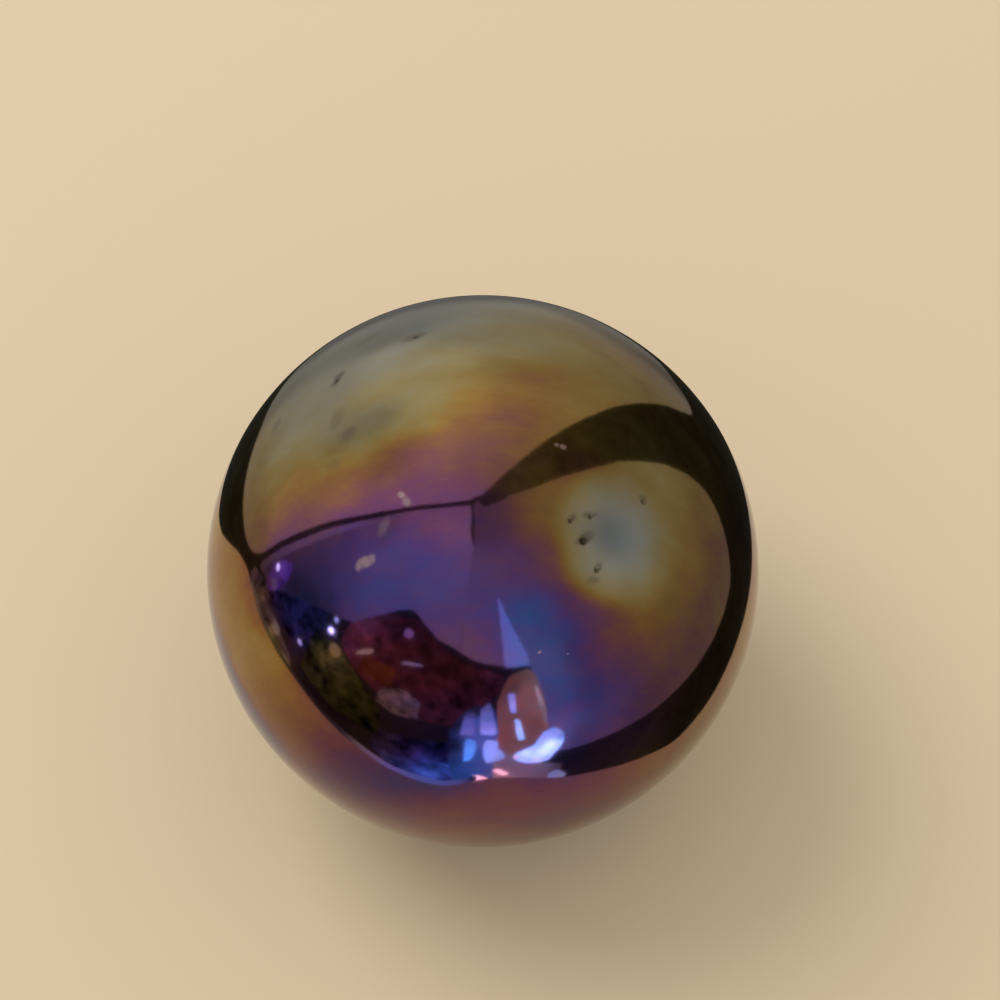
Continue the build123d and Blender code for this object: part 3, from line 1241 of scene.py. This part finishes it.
@dataclass
class Studio:
    """Floor, light, staging and camera round the ball."""

    floor_level: float
    floor_half_width: float = 1.5
    floor_colour: Colour = (0.66, 0.54, 0.385)
    mat_step: float = 2.0
    mat_lift: float = 0.00005
    # Painted shade on the mat: how dark its colour gets, and the azimuth, distance and reach of that darker
    # patch.
    mat_shade: float = 0.74
    shade_azimuth: float = 216.0
    shade_distance: float = 0.029
    shade_reach: float = 0.014
    edge_width: float = 0.085
    edge_tint: Colour = (0.72, 0.92, 1.0)
    clutter_grain: Grain = Grain(16.0, 3.0, 0.6)
    clutter_swing: float = 5.0
    least_clutter: float = 0.1
    least_columns: int = 8
    card_rows: int = 36
    backdrop: Colour = (0.80, 0.77, 0.72)
    lamp_colour: Colour = (1.0, 0.97, 0.92)
    lamp_power: float = 0.9
    lamp_size: float = 0.30
    lamp_distance: float = 0.45
    lamp_azimuth: float = -60.0
    lamp_elevation: float = 55.0
    camera_distance: float = 0.115
    camera_azimuth: float = 180.0
    camera_rise: float = 60.0
    camera_nearest: float = 0.0023
    lens: float = 90.8
    sensor: float = 36.0
    picture_side: int = 1000
    ball_in_picture: tuple[float, float] = (483.0, 570.3)

    def paint(self, name: str, shaded: bool = False) -> bpy.types.Material:
        """Builds the floor's plain matt paint, or the mat's paint with a patch of painted shade.

        Args:
            name: the paint's name.
            shaded: whether a patch of painted shade darkens its colour near the front left, where the mat's
                mirrored image is darker.

        Returns:
            The material.
        """
        made = bpy.data.materials.new(name)
        wiring = cleared(made)
        matt = wiring.add("ShaderNodeBsdfDiffuse")
        colour: Any = (*self.floor_colour, 1.0)
        if shaded:
            # Painted shade: a soft darker patch laid into the mat's colour, round one place near its front
            # left.
            place = wiring.add("ShaderNodeTexCoord").outputs["Object"]
            centre = floor_point(self.shade_azimuth, self.shade_distance, self.floor_level)
            dark = tuple(part * self.mat_shade for part in self.floor_colour)
            colour = wiring.mix(wiring.bell(place, centre, self.shade_reach), self.floor_colour, dark)
        wiring.feed(matt.inputs["Color"], colour)
        wiring.finish("ShaderNodeOutputMaterial", matt)
        return made

    def stand(self, name: str, points: Sequence[Any], faces: Sequence[Any]) -> bpy.types.Object:
        """Makes one object of the studio, which isn't part of the marble.

        Args:
            name: the object's name.
            points: its points in metres.
            faces: its faces.

        Returns:
            The object.
        """
        data = bpy.data.meshes.new(name)
        data.from_pydata(points, [], faces)
        piece = bpy.data.objects.new(name, data)
        bpy.context.scene.collection.objects.link(piece)
        return piece

    def only_mirrored(self, piece: bpy.types.Object) -> None:
        """Leaves an object to be seen in the ball's shine alone.

        Args:
            piece: the object.
        """
        piece.visible_camera = False
        piece.visible_diffuse = False
        piece.visible_transmission = False
        piece.visible_volume_scatter = False
        piece.visible_shadow = False

    def floor(self) -> list[bpy.types.Object]:
        """Lays the pale floor, and the pale mat that the shine sees in its place.

        Returns:
            The floor, the mat and the painted highlight along the mat's edge.
        """
        side = self.floor_half_width
        corners = [(-side, -side), (side, -side), (side, side), (-side, side)]
        floor = self.stand("floor", [(x, y, self.floor_level) for x, y in corners], [(0, 1, 2, 3)])
        floor.visible_glossy = False
        azimuths = np.arange(0.0, 360.0, self.mat_step)
        height = self.floor_level + self.mat_lift
        rim = [floor_point(turn, reach, height) for turn, reach in zip(azimuths, mat_reaches(azimuths))]
        mat = self.stand("mat", rim, [tuple(reversed(range(len(rim))))])
        self.only_mirrored(mat)
        floor.data.materials.append(self.paint("pale_floor"))
        mat.data.materials.append(self.paint("pale_mat", shaded=True))
        return [floor, mat, self.mat_edge_highlight()]

    def mat_edge_highlight(self) -> bpy.types.Object:
        """Lays a thin glowing strip along the mat's near side, a painted highlight for the light it would
        catch from the pane lights.

        Returns:
            The highlight strip's object.
        """
        turns, levels = zip(*EDGE_GLOWS)
        azimuths = np.arange(turns[0], turns[-1] + 1.0)
        height = self.floor_level + 2 * self.mat_lift
        points = [
            floor_point(turn, reach, height)
            for turn, near in zip(azimuths, mat_reaches(azimuths))
            for reach in (near, near * (1 + self.edge_width))
        ]
        faces = [(n, n + 1, n + 3, n + 2) for n in range(0, len(points) - 2, 2)]
        edge = self.stand("mat_edge_highlight", points, faces)
        self.light_up(edge, np.repeat(smooth_line(turns, levels, azimuths), 2), self.edge_tint)
        return edge

    def light_up(
        self, piece: bpy.types.Object, levels: np.ndarray, tint: Colour, clutter: float = 0.0
    ) -> None:
        """Makes an object glow, in the ball's shine alone.

        Args:
            piece: the object.
            levels: how brightly it glows at each of its points.
            tint: the light's colour.
            clutter: how far small patches swing above and below it.
        """
        piece.data.attributes.new("glow", "FLOAT", "POINT").data.foreach_set("value", levels)
        made = bpy.data.materials.new(f"{piece.name}_glow")
        wiring = cleared(made)
        strength = wiring.add("ShaderNodeAttribute", attribute_name="glow").outputs["Fac"]
        if clutter:
            place = wiring.add("ShaderNodeTexCoord").outputs["Object"]
            swing = wiring.swing(place, self.clutter_grain, self.clutter_swing * clutter)
            patches = wiring.maths("MAXIMUM", wiring.maths("ADD", swing, 1.0), self.least_clutter)
            strength = wiring.maths("MULTIPLY", strength, patches)
        glow = wiring.fill(wiring.add("ShaderNodeEmission"), Color=(*tint, 1.0), Strength=strength)
        wiring.finish("ShaderNodeOutputMaterial", glow)
        made.cycles.emission_sampling = "NONE"
        piece.data.materials.append(made)
        self.only_mirrored(piece)

    def card(self, card: Card) -> bpy.types.Object:
        """Hangs one glowing card that only the shine sees.

        Args:
            card: the card.

        Returns:
            The card's object.
        """
        places, lows, highs = zip(*card.uprights)
        columns = max(self.least_columns, round(places[-1] - places[0]))
        across = np.unique([*np.linspace(places[0], places[-1], columns + 1), *places])
        up = np.linspace(0.0, 1.0, self.card_rows + 1)
        low, high = smooth_line(places, lows, across), smooth_line(places, highs, across)
        elevations = np.minimum(np.outer(low, 1 - up) + np.outer(high, up), ZENITH)
        directions = [
            room_direction(azimuth, elevation)
            for azimuth, column in zip(across, elevations)
            for elevation in column
        ]
        step = self.card_rows + 1
        faces = [
            (first, first + 1, first + step + 1, first + step)
            for start in range(0, (len(across) - 1) * step, step)
            for first in range(start, start + self.card_rows)
        ]
        piece = self.stand(card.name, [direction * card.distance for direction in directions], faces)
        self.light_up(piece, card.levels(np.array(directions)), card.tint, card.clutter)
        return piece

    def room(self) -> None:
        """Sets the world to one even pale backdrop, which also fills the shadows."""
        world = bpy.data.worlds.new("studio")
        bpy.context.scene.world = world
        wiring = cleared(world)
        sky = wiring.fill(wiring.add("ShaderNodeBackground"), Color=(*self.backdrop, 1.0))
        wiring.finish("ShaderNodeOutputWorld", sky)

    def lamp(self) -> bpy.types.Object:
        """Hangs the soft lamp that throws the ball's shadow.

        Returns:
            The lamp's object.
        """
        light = bpy.data.lights.new("soft_lamp", "AREA")
        light.shape = "DISK"
        light.size = self.lamp_size
        light.energy = self.lamp_power
        light.color = self.lamp_colour
        piece = bpy.data.objects.new("soft_lamp", light)
        bpy.context.scene.collection.objects.link(piece)
        piece.location = room_direction(self.lamp_azimuth, self.lamp_elevation) * self.lamp_distance
        piece.rotation_mode = "QUATERNION"
        piece.rotation_quaternion = piece.location.to_track_quat("Z", "Y")
        piece.visible_glossy = False
        return piece

    def camera(self) -> bpy.types.Object:
        """Sets the camera at the picture's viewing angle, so that the ball stands where it does there.

        Returns:
            The camera's object.
        """
        data = bpy.data.cameras.new("camera")
        data.sensor_width = self.sensor
        data.lens = self.lens
        data.clip_start = self.camera_nearest
        piece = bpy.data.objects.new("camera", data)
        bpy.context.scene.collection.objects.link(piece)
        towards = room_direction(self.camera_azimuth, self.camera_rise)
        right = Vector((1.0, 0.0, 0.0))
        up = right.cross(-towards)
        pixel = self.sensor / self.lens / self.picture_side * self.camera_distance
        off_right = (self.picture_side / 2 - self.ball_in_picture[0]) * pixel
        off_up = (self.ball_in_picture[1] - self.picture_side / 2) * pixel
        place = towards * self.camera_distance
        back = (place - right * off_right - up * off_up).normalized()
        side = up.cross(back).normalized()
        turn = Matrix((side, back.cross(side), back)).transposed()
        piece.matrix_world = Matrix.Translation(place) @ turn.to_4x4()
        bpy.context.scene.camera = piece
        return piece

    def build(self) -> list[bpy.types.Object]:
        """Makes the whole studio.

        Returns:
            Its objects.
        """
        self.room()
        made = [*self.floor(), self.lamp(), self.camera()]
        made.extend(self.card(card) for card in CARDS)
        return made


def report(part: str, made: Sequence[bpy.types.Object]) -> None:
    """Logs each object that a part of the scene made.

    Args:
        part: the part's name.
        made: its objects.
    """
    for piece in made:
        faces = len(piece.data.polygons) if piece.type == "MESH" else 0
        logging.info("%s: %s, %d faces", part, piece.name, faces)


def main() -> None:
    logging.basicConfig(level=logging.INFO, format="%(message)s")
    bpy.context.scene.view_settings.view_transform = "Standard"
    ball = Ball()
    report("marble", [ball.build()])
    report("studio", Studio(floor_level=-ball.radius).build())


if __name__ == "__main__":
    main()
